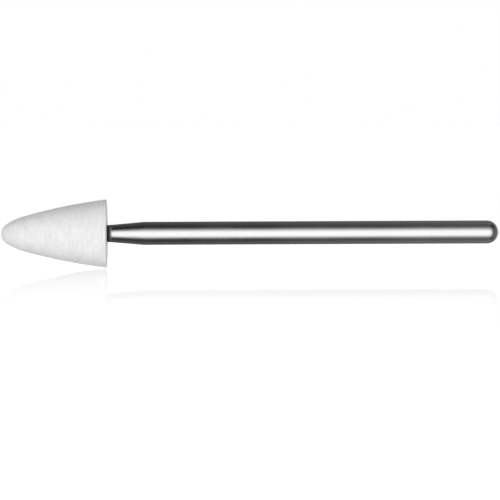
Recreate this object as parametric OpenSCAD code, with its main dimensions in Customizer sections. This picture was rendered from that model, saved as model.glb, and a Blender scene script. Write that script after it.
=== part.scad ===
// Mounted point: a white abrasive nose cemented on a steel mandrel for a rotary handpiece.
// All sizes are in millimetres. The spin axis is X, with the nose towards -X.
// X = 0 is where the parallel shank begins.

/* [Abrasive head] */
// Largest diameter, at the back of the head
head_d = 6.9; // [6.2:0.1:7.8]
// Length from the tip of the nose to the back face
head_l = 10.7; // [9.5:0.1:13]
// Radius of the rounded tip
nose_r = 1.1; // [0.8:0.05:1.5]
// Slope of the outline to the axis where the tip runs into the shoulder, in degrees
nose_angle = 35; // [30:1:45]
// Radius of the curve between the tip and the flank
shoulder_r = 6; // [4:0.5:9]
// Radius of the long, slightly barrelled flank
flank_r = 55; // [40:1:120]
// Rounding of the back edge
edge_r = 0.1; // [0.05:0.05:0.4]

/* [Shank] */
// Diameter that the collet grips
shank_d = 2.35; // [2.2:0.05:3.2]
// Length from the back of the head to the domed end
shank_l = 39.6; // [30:0.1:60]
// Length of the tapered neck behind the head
neck_l = 3.75; // [2:0.25:6]

/* [Spigot] */
// Diameter of the reduced end inside the head, which the neck starts from
spigot_d = 1.7; // [1.3:0.05:2]
// Length of the reduced end inside the head
spigot_l = 4.9; // [4:0.1:6]
// Chamfer at the tip of the spigot
spigot_chamfer = 0.2; // [0.1:0.05:0.4]
// Number of keying grooves round the spigot
groove_n = 4; // [2:1:5]
// Width of a keying groove
groove_w = 0.3; // [0.2:0.05:0.5]
// Depth of a keying groove
groove_depth = 0.12; // [0.05:0.01:0.25]

/* [Cement] */
// Thickness of the cement between the spigot and the hole
cement_film = 0.06; // [0.03:0.01:0.15]
// Thickness of the cement at the bottom of the hole
cement_pad = 0.2; // [0.1:0.05:0.5]

/* [Hidden] */
$fn = 240;

// Stations along the spin axis
neck_end = 0;
back = neck_end - neck_l;
tip = back - head_l;
spigot_tip = back - spigot_l;
hole_bottom = spigot_tip - cement_pad;
free_end = back + shank_l;
dome_start = free_end - shank_d / 2;

// Radii and spacing
shank_r = shank_d / 2;
spigot_r = spigot_d / 2;
hole_r = spigot_r + cement_film;
groove_pitch = spigot_l / (groove_n + 1);

// The half section is drawn as [radius, station]. The head's outline is three tangent arcs,
// for the tip, the shoulder and the flank, and a rounding that breaks the back edge.
// Direction square to the outline, outwards, where it slopes by an angle to the axis
function outwards(angle) = [cos(angle), -sin(angle)];

// The point at distance p_r from p and q_r from q that lies nearer the axis
function meet(p, p_r, q, q_r) =
    let (
        gap = norm(q - p),
        ahead = (q - p) / gap,
        along = (p_r * p_r - q_r * q_r + gap * gap) / (2 * gap),
        across = sqrt(p_r * p_r - along * along)
    )
    p + along * ahead + across * [-ahead[1], ahead[0]];

// How far round the rounding the flank meets it, in degrees past its widest point
edge_lap = 5;
rim = [head_d / 2, back - edge_r + edge_r * sin(edge_lap)];
edge_c = rim - edge_r * [cos(edge_lap), sin(edge_lap)];

// How far the tip stands proud of the shoulder where they meet, so that the two arcs cross cleanly
nose_lap = 0.0002;
shoulder_offset = nose_r - nose_lap - shoulder_r;

// The flank is tangent to the shoulder and passes through the rim
nose_c = [0, tip + nose_r];
shoulder_c = nose_c + shoulder_offset * outwards(nose_angle);
flank_c = meet(shoulder_c, flank_r - shoulder_r, rim, flank_r);
flank_angle = asin((flank_c - shoulder_c)[1] / (flank_r - shoulder_r));

// Half width of a square that reaches past the whole section
far = 2 * flank_r;

// Rectangle of the half section, from one radius and station to another
module block(r_in, r_out, from, to) {
    translate([r_in, from])
        square([r_out - r_in, to - from]);
}

// Everything on one side of the local x axis
module tip_side() {
    translate([-far, -2 * far])
        square(2 * far);
}

module back_side() {
    translate([-far, 0])
        square(2 * far);
}

// A half section turned round the spin axis
module turned() {
    rotate([0, 90, 0])
        rotate_extrude()
            children();
}

// Each arc is centred on the line square to the outline where the arc before it ends,
// so the two are tangent there
module nose_outline() {
    translate(nose_c) {
        circle(nose_r);
        rotate(-nose_angle)
            intersection() {
                back_side();
                translate([shoulder_offset, 0])
                    rotate(nose_angle - flank_angle)
                        flank_outline();
            }
    }
}

// The shoulder and the flank, seen from the shoulder's centre with x pointing at where they meet
module flank_outline() {
    intersection() {
        circle(shoulder_r);
        tip_side();
    }
    intersection() {
        translate([shoulder_r - flank_r, 0])
            circle(flank_r);
        back_side();
    }
}

// The axis, the back face and the rounding between it and the flank
module back_limit() {
    block(0, far, tip - nose_r, edge_c[1]);
    block(0, edge_c[0], edge_c[1], back);
    intersection() {
        translate(edge_c)
            circle(edge_r);
        block(edge_c[0], far, edge_c[1], back + edge_r);
    }
}

// The hole, up to a station at or past the back face
module hole_outline(top) {
    block(0, hole_r, hole_bottom, top);
}

// The reduced end with its chamfer and keying grooves, run on into the neck
module spigot_outline() {
    difference() {
        polygon([
            [0, spigot_tip],
            [spigot_r - spigot_chamfer, spigot_tip],
            [spigot_r, spigot_tip + spigot_chamfer],
            [spigot_r, neck_end],
            [0, neck_end]
        ]);
        for (i = [1 : groove_n]) {
            centre = spigot_tip + i * groove_pitch;
            block(spigot_r - groove_depth, spigot_d, centre - groove_w / 2, centre + groove_w / 2);
        }
    }
}

// The tapered neck, the parallel shank and its domed end
module shank_outline() {
    polygon([
        [0, back],
        [spigot_r, back],
        [shank_r, neck_end],
        [shank_r, dome_start],
        [0, dome_start]
    ]);
    intersection() {
        translate([0, dome_start])
            circle(shank_r);
        block(0, shank_d, dome_start, free_end + shank_r);
    }
}

module abrasive_head() {
    color("whitesmoke")
        turned()
            difference() {
                intersection() {
                    nose_outline();
                    back_limit();
                }
                hole_outline(neck_end);
            }
}

module cement_bond() {
    color("gainsboro")
        turned()
            difference() {
                hole_outline(back);
                spigot_outline();
            }
}

module shank() {
    color("silver")
        turned() {
            spigot_outline();
            shank_outline();
        }
}

abrasive_head();
cement_bond();
shank();
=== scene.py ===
# %% [markdown]
# # A mounted point, dressed and photographed
# The tool is a small white abrasive nose cemented on a polished steel shank. Its three pieces
# arrive from the CAD model at their real size. They could be modelled again here, but they are
# true already, so nothing moves or reshapes them. What is left to do is the finish of each
# surface, and the studio that makes steel look like steel.

# %% Load the three pieces
import math

import bpy
from mathutils import Matrix, Vector


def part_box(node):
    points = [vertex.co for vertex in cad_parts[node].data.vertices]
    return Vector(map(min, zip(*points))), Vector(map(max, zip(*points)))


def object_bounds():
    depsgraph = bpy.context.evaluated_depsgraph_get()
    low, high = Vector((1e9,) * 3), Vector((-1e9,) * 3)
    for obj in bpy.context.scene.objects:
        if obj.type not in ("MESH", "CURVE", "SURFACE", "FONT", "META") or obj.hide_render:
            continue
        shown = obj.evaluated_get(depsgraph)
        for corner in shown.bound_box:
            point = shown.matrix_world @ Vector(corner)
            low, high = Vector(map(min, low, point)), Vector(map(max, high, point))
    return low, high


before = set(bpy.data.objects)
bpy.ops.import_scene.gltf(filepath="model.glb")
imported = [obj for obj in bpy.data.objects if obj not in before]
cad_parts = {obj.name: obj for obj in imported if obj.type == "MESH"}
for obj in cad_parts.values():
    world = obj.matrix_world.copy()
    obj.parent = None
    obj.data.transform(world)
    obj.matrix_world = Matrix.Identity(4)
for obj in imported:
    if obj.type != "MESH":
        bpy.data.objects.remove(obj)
cad_low, cad_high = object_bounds()
bpy.ops.object.select_all(action="DESELECT")
scene = bpy.context.scene
MM = 0.001

# %% [markdown]
# ## The camera
# The tool lies on its side across the whole frame, seen almost level. A camera could be pushed
# about until the picture looks right, but it is surer to read three places off the photograph and
# let them give the aim and the lens: the tip, the domed end and the height of the axis. The camera
# stands square to the tool and half a metre away. The head is far left of the middle, so it is
# seen a little from behind, and a thin sliver of its back face shows, as it does in the
# photograph. A slight roll follows the slope of the shank.

# %% Aim the camera
FRAME_PIXELS = 500
TIP_PIXEL = 1.1
END_PIXEL = 498.5
AXIS_PIXEL = 232.9
DISTANCE = 0.5
LOOK_DOWN = math.radians(3.0)
ROLL = math.radians(0.24)

tool_length = cad_high.x - cad_low.x
pixel = tool_length / (END_PIXEL - TIP_PIXEL)
drop = (FRAME_PIXELS / 2 - AXIS_PIXEL) * pixel
slide = (FRAME_PIXELS - TIP_PIXEL - END_PIXEL) / 2 * pixel
aim = Vector(((cad_low.x + cad_high.x) / 2 + slide, 0, -drop))

backwards = Vector((0, -math.cos(LOOK_DOWN), math.sin(LOOK_DOWN)))
bpy.ops.object.camera_add()
camera = bpy.context.object
camera.name = "camera"
turn = backwards.to_track_quat("Z", "Y").to_matrix().to_4x4()
camera.matrix_world = (
    Matrix.Translation(aim + backwards * DISTANCE) @ turn @ Matrix.Rotation(-ROLL, 4, "Z")
)
camera.data.lens = camera.data.sensor_width * DISTANCE / (FRAME_PIXELS * pixel)
scene.camera = camera
print("lens", round(camera.data.lens), "mm, one pixel is", round(pixel / MM, 4), "mm")

# %% [markdown]
# ## Helpers for the finishes
# Every finish here is a small tree of nodes. A painted picture could give the finish too, but it
# has to be wrapped round the piece, and it blurs when one comes close. The trees could be joined up
# by hand in the shader editor. They have much in common, though, so each common step is a helper.
# All start from the piece's own coordinates. These are in metres, so they are multiplied by a
# thousand, and every scale below then counts marks to the millimetre.

# %% Start a finish
def start_finish(name, node):
    """A new material in the slot of one CAD piece, with its shader and its place in millimetres."""
    finish = bpy.data.materials.new(name)
    finish.use_nodes = True
    tree = finish.node_tree
    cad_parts[node].material_slots[0].material = finish
    place = tree.nodes.new("ShaderNodeTexCoord")
    per_mm = tree.nodes.new("ShaderNodeVectorMath")
    per_mm.operation = "SCALE"
    per_mm.inputs["Scale"].default_value = 1 / MM
    tree.links.new(place.outputs["Object"], per_mm.inputs[0])
    return tree, tree.nodes["Principled BSDF"], per_mm.outputs[0]


print("finishes start from coordinates times", round(1 / MM))

# %% [markdown]
# Almost every mark on a real surface comes from chance, and noise is chance that can be steered.
# It is stretched to the shape of the mark, its values are spread over the range that is wanted,
# and several noises are added, each with its share.

# %% Steer the noise
NOISE_DETAIL = 3.0
NOISE_RANGE = (0.3, 0.7)


def noise(tree, place, along, around):
    """Noise with so many marks to the millimetre along the spin axis, and so many across it."""
    stretch = tree.nodes.new("ShaderNodeMapping")
    stretch.inputs["Scale"].default_value = (along, around, around)
    tree.links.new(place, stretch.inputs["Vector"])
    marks = tree.nodes.new("ShaderNodeTexNoise")
    marks.inputs["Scale"].default_value = 1.0
    marks.inputs["Detail"].default_value = NOISE_DETAIL
    tree.links.new(stretch.outputs[0], marks.inputs["Vector"])
    return marks.outputs["Fac"]


def spread(tree, value, low, high, to_low, to_high, smooth=False):
    """A value from one range spread over another, and held at the ends."""
    remap = tree.nodes.new("ShaderNodeMapRange")
    remap.interpolation_type = "SMOOTHSTEP" if smooth else "LINEAR"
    remap.inputs["From Min"].default_value = low
    remap.inputs["From Max"].default_value = high
    remap.inputs["To Min"].default_value = to_low
    remap.inputs["To Max"].default_value = to_high
    tree.links.new(value, remap.inputs["Value"])
    return remap.outputs["Result"]


def combine(tree, operation, first, second=0.0):
    """Two values brought together by one piece of arithmetic."""
    arithmetic = tree.nodes.new("ShaderNodeMath")
    arithmetic.operation = operation
    for socket, value in zip(arithmetic.inputs, (first, second)):
        if isinstance(value, float):
            socket.default_value = value
        else:
            tree.links.new(value, socket)
    return arithmetic.outputs[0]


def weigh(tree, *shares):
    """The sum of several values, each with its share."""
    parts = [combine(tree, "MULTIPLY", value, share) for value, share in shares]
    total = parts[0]
    for part in parts[1:]:
        total = combine(tree, "ADD", total, part)
    return total


print("most of a noise lies between", *NOISE_RANGE)

# %% [markdown]
# A noise is only a number. It becomes a colour between a dark and a light one, it says how much of
# a film covers a colour, or it is taken as a height, which tilts the surface for the light and
# leaves the mesh as it is.

# %% Turn noise into colour and relief
def two_tone(tree, value, dark, light):
    """A colour between two others, by a value from 0 to 1."""
    ramp = tree.nodes.new("ShaderNodeValToRGB")
    ramp.color_ramp.elements[0].color = (*dark, 1)
    ramp.color_ramp.elements[1].color = (*light, 1)
    tree.links.new(value, ramp.inputs["Fac"])
    return ramp.outputs["Color"]


def cover(tree, colour, dark_grain_and_root_shade, amount):
    """A colour laid over another where the amount is above 0: dark grains, painted shade."""
    covered = tree.nodes.new("ShaderNodeMix")
    covered.data_type = "RGBA"
    covered.inputs["B"].default_value = (*dark_grain_and_root_shade, 1)
    tree.links.new(amount, covered.inputs["Factor"])
    tree.links.new(colour, covered.inputs["A"])
    return covered.outputs["Result"]


def relief(tree, shader, height, depth):
    """Bumps of a given depth, in metres, from a height between 0 and 1."""
    bump = tree.nodes.new("ShaderNodeBump")
    bump.inputs["Strength"].default_value = 1.0
    bump.inputs["Distance"].default_value = depth
    tree.links.new(height, bump.inputs["Height"])
    tree.links.new(bump.outputs["Normal"], shader.inputs["Normal"])


print("colour and relief helpers ready")

# %% [markdown]
# ## The abrasive
# The head is pressed from fine white grit and a glassy bond, fired, and trued on a diamond while
# it spins. So it is matt and very pale, with a fine grain, a mottle where the grit packed
# differently, faint rings left by the truing, and a dark grain here and there. The grit could be
# modelled as thousands of tiny stones, but each is finer than the picture can show, so it goes
# into the colour, the roughness and a little relief. Three noises give the grain, the mottle and
# the rings. The rings are a noise squeezed along the spin axis, because a mark made on a turning
# piece is narrow along the axis and long round it.

# %% Mottle the abrasive head
ABRASIVE_DARK = (0.83, 0.83, 0.83)
ABRASIVE_LIGHT = (0.955, 0.955, 0.95)
ABRASIVE_TONE_RANGE = (0.36, 0.64)
ABRASIVE_ROUGHNESS = (0.8, 0.95)
ABRASIVE_DUSTINESS = 0.2
ABRASIVE_SHINE = 0.2
ABRASIVE_RELIEF = 0.012 * MM
RING_RELIEF_SHARE = 0.8
MOTTLE_SHARE = 0.28
RING_SHARE = 0.42
GRAIN_SHARE = 0.3

tree, shader, place = start_finish("white_abrasive", "abrasive_head")
grain = noise(tree, place, along=6.0, around=6.0)
mottle = noise(tree, place, along=0.9, around=0.9)
rings = noise(tree, place, along=4.0, around=1.0)

tone = weigh(tree, (mottle, MOTTLE_SHARE), (rings, RING_SHARE), (grain, GRAIN_SHARE))
tone = spread(tree, tone, *ABRASIVE_TONE_RANGE, 0.0, 1.0)
pale = two_tone(tree, tone, ABRASIVE_DARK, ABRASIVE_LIGHT)

shader.inputs["Diffuse Roughness"].default_value = ABRASIVE_DUSTINESS
shader.inputs["Specular IOR Level"].default_value = ABRASIVE_SHINE
matt = spread(tree, grain, *NOISE_RANGE, *ABRASIVE_ROUGHNESS)
tree.links.new(matt, shader.inputs["Roughness"])
height = weigh(tree, (grain, 1.0), (rings, RING_RELIEF_SHARE))
relief(tree, shader, height, ABRASIVE_RELIEF)
print("abrasive mottled from", ABRASIVE_DARK, "to", ABRASIVE_LIGHT)

# %% [markdown]
# The dark grains are the odd impurity in the grit. They could be placed one by one, but chance
# does it better. A Voronoi texture deals the surface out in cells, and each cell has a random
# colour of its own. A grain sits in the middle of a cell, and only the few cells with much red in
# their colour get one.

# %% Add the dark grains
GRAIN_CELLS = 1.6
GRAIN_SIZE = (0.05, 0.12)
GRAIN_RARITY = (0.8, 0.82)
GRAIN_DEPTH = 0.25
GRAIN_COLOUR = (0.36, 0.35, 0.34)

cells = tree.nodes.new("ShaderNodeTexVoronoi")
cells.inputs["Scale"].default_value = GRAIN_CELLS
tree.links.new(place, cells.inputs["Vector"])
lots = tree.nodes.new("ShaderNodeSeparateColor")
tree.links.new(cells.outputs["Color"], lots.inputs["Color"])
speck = combine(
    tree, "MULTIPLY",
    spread(tree, cells.outputs["Distance"], *GRAIN_SIZE, 1.0, 0.0),
    spread(tree, lots.outputs["Red"], *GRAIN_RARITY, 0.0, GRAIN_DEPTH),
)
tree.links.new(cover(tree, pale, GRAIN_COLOUR, speck), shader.inputs["Base Color"])
print("abrasive head finished with", len(tree.nodes), "nodes")

# %% [markdown]
# ## The steel
# The shank is ground true and then polished, so it is a clear mirror that is only slightly soft.
# Grinding between wheels leaves very fine rings, too shallow to see one by one, and handling wears
# the polish in patches a few millimetres long, so the reflection is softer in some places than in
# others. Scratches could be painted on, but bright steel shows wear in its shine and hardly in its
# colour, so both go into the roughness, and the rings also into a hair of relief. Real steel
# reflects less at a glancing angle than the plain formula says, and the edge tint takes care of
# that. At the root of the neck, close to the head, the steel's colour is painted almost black, and
# this fades out in half a millimetre: it is painted shade where the head shades the joint, and a
# painted dark reflection of the head's shaded back face.

# %% Finish the steel shank
STEEL_DARK = (0.565, 0.565, 0.57)
STEEL_LIGHT = (0.585, 0.585, 0.588)
STEEL_TONE_RANGE = (0.35, 0.65)
STEEL_EDGE_TINT = (0.3, 0.3, 0.305, 1)
STEEL_ROUGHNESS = (0.11, 0.23)
STEEL_WEAR_RANGE = (0.38, 0.62)
STEEL_RELIEF = 0.0002 * MM
RING_WEAR = 0.3
PATCH_WEAR = 0.7
ROOT_SHADE_COLOUR = (0.04, 0.039, 0.038)
ROOT_SHADE_REACH = (0.22, 0.52)
ROOT_SHADE_DEPTH = 0.95

tree, shader, place = start_finish("ground_steel", "shank")
rings = noise(tree, place, along=9.0, around=0.3)
patches = noise(tree, place, along=0.2, around=0.25)
wear = weigh(tree, (rings, RING_WEAR), (patches, PATCH_WEAR))
tone = spread(tree, wear, *STEEL_TONE_RANGE, 0.0, 1.0)
steel = two_tone(tree, tone, STEEL_DARK, STEEL_LIGHT)

head_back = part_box("abrasive_head")[1].x / MM
split = tree.nodes.new("ShaderNodeSeparateXYZ")
tree.links.new(place, split.inputs[0])
behind_head = combine(tree, "SUBTRACT", split.outputs["X"], head_back)
# Painted shade and painted dark reflection: the steel is darkened close to the head's back face.
dark_grain_and_root_shade = spread(tree, behind_head, *ROOT_SHADE_REACH, ROOT_SHADE_DEPTH, 0.0, smooth=True)
tree.links.new(cover(tree, steel, ROOT_SHADE_COLOUR, dark_grain_and_root_shade), shader.inputs["Base Color"])
softness = spread(tree, wear, *STEEL_WEAR_RANGE, *STEEL_ROUGHNESS)
tree.links.new(softness, shader.inputs["Roughness"])
shader.inputs["Metallic"].default_value = 1.0
shader.inputs["Specular Tint"].default_value = STEEL_EDGE_TINT
relief(tree, shader, rings, STEEL_RELIEF)
print("steel shank finished with", len(tree.nodes), "nodes")

# %% [markdown]
# ## The cement
# Only a hair-thin ring of cement shows, where the shank leaves the back of the head. It is a set
# paste of mineral powder: matt, a shade greyer than the abrasive, and grainy. A flat grey would
# nearly do for so thin a ring, but one fine noise costs little and holds up in a close view.

# %% Finish the cement
CEMENT_DARK = (0.6, 0.59, 0.56)
CEMENT_LIGHT = (0.76, 0.75, 0.72)
CEMENT_ROUGHNESS = (0.78, 0.95)
CEMENT_RELIEF = 0.01 * MM

tree, shader, place = start_finish("set_cement", "cement_bond")
grain = noise(tree, place, along=14.0, around=14.0)
paste = two_tone(tree, spread(tree, grain, *NOISE_RANGE, 0.0, 1.0), CEMENT_DARK, CEMENT_LIGHT)
tree.links.new(paste, shader.inputs["Base Color"])
matt = spread(tree, grain, *NOISE_RANGE, *CEMENT_ROUGHNESS)
tree.links.new(matt, shader.inputs["Roughness"])
relief(tree, shader, grain, CEMENT_RELIEF)
print("cement finished with", len(tree.nodes), "nodes")

# %% [markdown]
# ## The table
# The tool lies on a pale sheet that touches the head at its widest. The background could simply be
# left white, but then the tool would float. To the camera the sheet glows, as a table lit from
# below does, and with the light of the lamps it comes out white and keeps a soft shadow. It is
# left out of the light paths that reach the tool, so it hides no light from it.

# %% Lay the table
TABLE_SIZE = 1.0
TABLE_GLOW = 0.7
TABLE_COLOUR = (0.8, 0.8, 0.8, 1)

bpy.ops.mesh.primitive_plane_add(size=TABLE_SIZE, location=(0, 0, cad_low.z))
table = bpy.context.object
table.name = "table"
for path in ("visible_diffuse", "visible_glossy", "visible_shadow"):
    setattr(table, path, False)

sheet = bpy.data.materials.new("pale_sheet")
sheet.use_nodes = True
tree = sheet.node_tree
nodes, links = tree.nodes, tree.links
nodes.remove(nodes["Principled BSDF"])
matt = nodes.new("ShaderNodeBsdfDiffuse")
matt.inputs["Color"].default_value = TABLE_COLOUR
glow = nodes.new("ShaderNodeEmission")
glow.inputs["Strength"].default_value = TABLE_GLOW
white = nodes.new("ShaderNodeAddShader")
links.new(matt.outputs[0], white.inputs[0])
links.new(glow.outputs[0], white.inputs[1])
table.data.materials.append(sheet)
print("table at", round(cad_low.z / MM, 2), "mm")

# %% [markdown]
# Seen at a low angle the sheet shows a faint mirror image, as any smooth sheet does. An ordinary
# glossy coat would do that over the whole table and show the studio too. So the gloss is mixed in
# by hand: it is kept to a few centimetres round the tool, and it falls off fast as the view gets
# steeper.

# %% Polish the table near the tool
GLOSS_AT_TOOL = 3.3
GLOSS_REACH = 66 * MM
GLOSS_ENDS = (0.6 * tool_length, 1.2 * tool_length)
GLOSS_ROUGHNESS = 0.03
GLOSS_BLEND = 0.1
GLOSS_FALL = 3.0

gloss = nodes.new("ShaderNodeBsdfGlossy")
gloss.inputs["Color"].default_value = (1, 1, 1, 1)
gloss.inputs["Roughness"].default_value = GLOSS_ROUGHNESS
place = nodes.new("ShaderNodeTexCoord")
split = nodes.new("ShaderNodeSeparateXYZ")
links.new(place.outputs["Object"], split.inputs[0])
aside = combine(tree, "ABSOLUTE", split.outputs["Y"])
endwise = combine(tree, "ABSOLUTE", combine(tree, "SUBTRACT", split.outputs["X"], aim.x))
near = combine(
    tree, "MULTIPLY",
    spread(tree, aside, 0.0, GLOSS_REACH, GLOSS_AT_TOOL, 0.0),
    spread(tree, endwise, *GLOSS_ENDS, 1.0, 0.0, smooth=True),
)
low_angle = nodes.new("ShaderNodeLayerWeight")
low_angle.inputs["Blend"].default_value = GLOSS_BLEND
glancing = combine(tree, "POWER", low_angle.outputs["Facing"], GLOSS_FALL)
whole = nodes.new("ShaderNodeMixShader")
links.new(combine(tree, "MULTIPLY", near, glancing), whole.inputs["Fac"])
links.new(white.outputs[0], whole.inputs[1])
links.new(gloss.outputs[0], whole.inputs[2])
links.new(whole.outputs[0], nodes["Material Output"].inputs["Surface"])
print("table polished", round(GLOSS_REACH / MM), "mm to each side of the tool")

# %% [markdown]
# ## The softboxes
# Two large softboxes stand in front of the tool and behind it. A small lamp is easier to place, but
# it lights a round thing from one side and leaves a hard edge to the shade. The front softbox
# fills the view from well below the tool to well above it, so the middle of the head is the
# brightest part and both its edges fall away. The back one lights the far side, and it reaches
# only a few centimetres past the shank's end, because the photograph leaves the back of the head
# in shade. The power of a lamp goes with its area here, so that its size can change and its
# brightness stays.

# %% Set up the softboxes
SOFTBOX_DISTANCE = 0.55
REACH_UP = math.radians(33)
REACH_DOWN = math.radians(40)
REACH_ASIDE = math.radians(59)
REACH_BEHIND_HEAD = math.radians(8)
FRONT_BRIGHTNESS = 1.4
BACK_BRIGHTNESS = 1.7

box_top = SOFTBOX_DISTANCE * math.tan(REACH_UP)
box_bottom = -SOFTBOX_DISTANCE * math.tan(REACH_DOWN)
box_aside = SOFTBOX_DISTANCE * math.tan(REACH_ASIDE)
box_behind_head = SOFTBOX_DISTANCE * math.tan(REACH_BEHIND_HEAD)


def add_softbox(name, side, brightness, left, right):
    """A lamp that faces the tool from the front, side -1, or from behind it, side 1."""
    bpy.ops.object.light_add(
        type="AREA",
        location=((left + right) / 2, side * SOFTBOX_DISTANCE, (box_top + box_bottom) / 2),
        rotation=(side * math.pi / -2, 0, 0),
    )
    softbox = bpy.context.object
    softbox.name = name
    softbox.data.shape = "RECTANGLE"
    softbox.data.size = right - left
    softbox.data.size_y = box_top - box_bottom
    softbox.data.energy = brightness * math.pi * softbox.data.size * softbox.data.size_y
    softbox.visible_camera = False
    softbox.visible_glossy = False
    print(name, "gives", round(softbox.data.energy, 2), "W")


add_softbox("front_softbox", -1, FRONT_BRIGHTNESS, aim.x - box_aside, aim.x + box_aside)
add_softbox("back_softbox", 1, BACK_BRIGHTNESS, -box_aside, box_behind_head)

# %% [markdown]
# ## What the steel reflects
# Polished steel has no look of its own: it shows the room. So the room gets a set of glowing
# cards, as a photographer would hang white and black paper round a shiny thing. A picture of a
# real studio could stand round the tool instead, but cards can be moved one at a time. Only
# reflections see them, so they cast no shadow on the tool and don't show in the picture.

# %% Helpers for the cards
CARD_THICKNESS = 1 * MM


def add_card(name, low, high):
    """A card between two corners, seen by reflections alone, with its place and its strength."""
    low, high = Vector(low), Vector(high)
    bpy.ops.mesh.primitive_cube_add(size=1, location=(low + high) / 2)
    card = bpy.context.object
    card.name = name
    card.scale = [max(side, CARD_THICKNESS) for side in high - low]
    bpy.ops.object.transform_apply(location=True, scale=True)
    for path in ("visible_camera", "visible_diffuse", "visible_shadow", "visible_transmission"):
        setattr(card, path, False)
    paper = bpy.data.materials.new(name)
    paper.use_nodes = True
    tree = paper.node_tree
    tree.nodes.remove(tree.nodes["Principled BSDF"])
    light = tree.nodes.new("ShaderNodeEmission")
    tree.links.new(light.outputs[0], tree.nodes["Material Output"].inputs["Surface"])
    card.data.materials.append(paper)
    place = tree.nodes.new("ShaderNodeTexCoord")
    split = tree.nodes.new("ShaderNodeSeparateXYZ")
    tree.links.new(place.outputs["Object"], split.inputs[0])
    print(name, "hung")
    return tree, split.outputs, light.inputs["Strength"]


def fade(tree, value, middle, start, end, bright, dim):
    """Bright round a middle, and dim further away from it."""
    away = combine(tree, "ABSOLUTE", combine(tree, "SUBTRACT", value, middle))
    return spread(tree, away, start, end, bright, dim, smooth=True)


print("card helpers ready")

# %% [markdown]
# A real softbox is brightest in its middle. A panel with that fade stands as far off as each
# softbox, and the rod shows it as a bright stripe. An evenly bright panel would be simpler, but its
# stripe would have hard edges.

# %% Hang the panels
PANEL_PEAK = 1.68
PANEL_MIDDLE = -0.06
PANEL_FADE_UPRIGHT = (0.1, 0.68)
PANEL_FADE_ASIDE = (0.3, 0.95)
PANEL_DIM_ASIDE = 0.2


def add_panel(name, side):
    """The face of a softbox as the steel sees it, in front, side -1, or behind, side 1."""
    depth = side * SOFTBOX_DISTANCE
    tree, place, strength = add_card(
        name, (aim.x - box_aside, depth, box_bottom), (aim.x + box_aside, depth, box_top)
    )
    upright = fade(tree, place["Z"], PANEL_MIDDLE, *PANEL_FADE_UPRIGHT, PANEL_PEAK, 0.0)
    aside = fade(tree, place["X"], aim.x, *PANEL_FADE_ASIDE, 1.0, PANEL_DIM_ASIDE)
    tree.links.new(combine(tree, "MULTIPLY", upright, aside), strength)


add_panel("front_panel", -1)
add_panel("back_panel", 1)

# %% [markdown]
# Dark cards above and below give the dark band along each edge, which is what makes the rod look
# round. Plain black cards would do that too, but in the photograph the bands are darkest beside
# the stripe and near the neck. So each card is a little lighter towards its back and towards the
# shank's end, and its edges are soft.

# %% Hang the dark cards
CARD_HEIGHT = 0.12
CARD_LENGTH = 0.8
CARD_BACK = 0.3
CARD_EDGE = 0.62
CARD_DARK_FROM = -0.06
CARD_DARK_TO = 0.15
CARD_TONES = (0.035, 0.14)
CARD_TONES_AT = (0.0, 0.045)
CARD_LIFT = 0.12
CARD_LIFT_AT = (-0.02, 0.1)
LOWER_CARD_GAIN = 1.3


def add_dark_card(name, height, reach, gain):
    """A dark card above or below the tool, which begins where the front softbox ends."""
    front = -CARD_HEIGHT / math.tan(reach)
    tree, place, strength = add_card(
        name, (-CARD_LENGTH / 2, front, height), (CARD_LENGTH / 2, CARD_BACK, height)
    )
    front_edge = spread(tree, place["Y"], front, CARD_DARK_FROM, CARD_EDGE, 0.0, smooth=True)
    back_edge = spread(tree, place["Y"], CARD_DARK_TO, CARD_BACK, 0.0, CARD_EDGE, smooth=True)
    lift = spread(tree, place["Y"], *CARD_LIFT_AT, 0.0, CARD_LIFT)
    tone = spread(tree, place["X"], *CARD_TONES_AT, *CARD_TONES)
    tree.links.new(
        weigh(tree, (front_edge, 1.0), (back_edge, 1.0), (lift, gain), (tone, gain)), strength
    )


add_dark_card("card_above", CARD_HEIGHT, REACH_UP, 1.0)
add_dark_card("card_below", -CARD_HEIGHT, REACH_DOWN, LOWER_CARD_GAIN)

# %% [markdown]
# The dome at the shank's end looks past both cards, along the axis. With nothing there it would
# mirror the white room and be lost against the background. A small dark card gives it a rim. The
# card is lightest a little below its middle, which leaves the dome's shoulders darker than its tip.

# %% Hang the card past the end
END_CARD_X = 0.1
END_CARD_TONE = 0.18
END_CARD_DIM = 0.06
END_CARD_MIDDLE = -0.02
END_CARD_FADE = (0.02, 0.09)

end_half = (END_CARD_X - cad_high.x) / math.tan(REACH_ASIDE)
tree, place, strength = add_card(
    "card_at_end", (END_CARD_X, -end_half, -CARD_HEIGHT), (END_CARD_X, end_half, CARD_HEIGHT)
)
end_tone = fade(tree, place["Z"], END_CARD_MIDDLE, *END_CARD_FADE, END_CARD_TONE, END_CARD_DIM)
tree.links.new(end_tone, strength)

# %% [markdown]
# ## The white room
# Round all this is a plain white room. Four walls could be built, but the world behind everything
# does the same and throws no shadow. The camera and the reflections see it as white, and it fills
# the shadows with a little even light.

# %% Paint the room
ROOM_FILL = 0.2
ROOM_WHITE = 1.0

room = bpy.data.worlds.new("white_room")
scene.world = room
room.use_nodes = True
tree = room.node_tree
path = tree.nodes.new("ShaderNodeLightPath")
seen = combine(tree, "MAXIMUM", path.outputs["Is Camera Ray"], path.outputs["Is Glossy Ray"])
seen = combine(tree, "MAXIMUM", seen, path.outputs["Is Transmission Ray"])
background = tree.nodes["Background"]
background.inputs["Color"].default_value = (1, 1, 1, 1)
tree.links.new(spread(tree, seen, 0.0, 1.0, ROOM_FILL, ROOM_WHITE), background.inputs["Strength"])
scene.view_settings.view_transform = "Standard"
print("room painted, fill light", ROOM_FILL)
